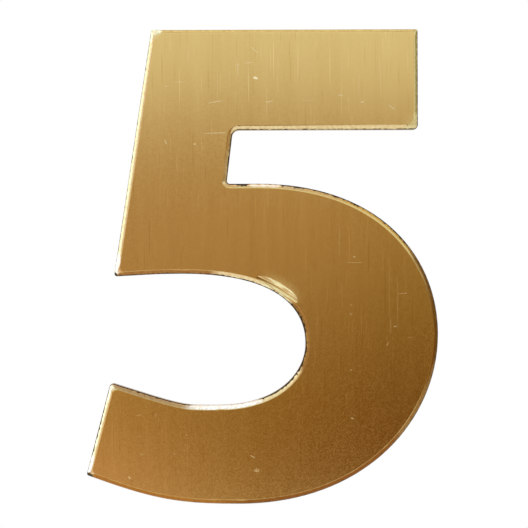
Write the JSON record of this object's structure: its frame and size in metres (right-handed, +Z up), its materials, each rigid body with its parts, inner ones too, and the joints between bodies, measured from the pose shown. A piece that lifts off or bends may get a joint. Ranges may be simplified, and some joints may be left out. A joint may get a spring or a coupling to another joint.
{
  "type": "house number",
  "caption": "Flat brass door numeral, a sloping 5 cut from plate, with a rolled front edge and a vertically brushed face.",
  "frame": {"origin": "on the flat back, at the middle of the numeral's height and width", "axes": "+Z up the numeral, +X to the right as read from the front, the face looks along -Y and the back along +Y"},
  "size_m": [0.0563, 0.002, 0.076],
  "materials": {
    "brass": "face brushed in fine vertical lines, rolled edge polished, light scratches"
  },
  "bodies": {
    "root": {"number_five": "brass"}
  },
  "joints": []
}
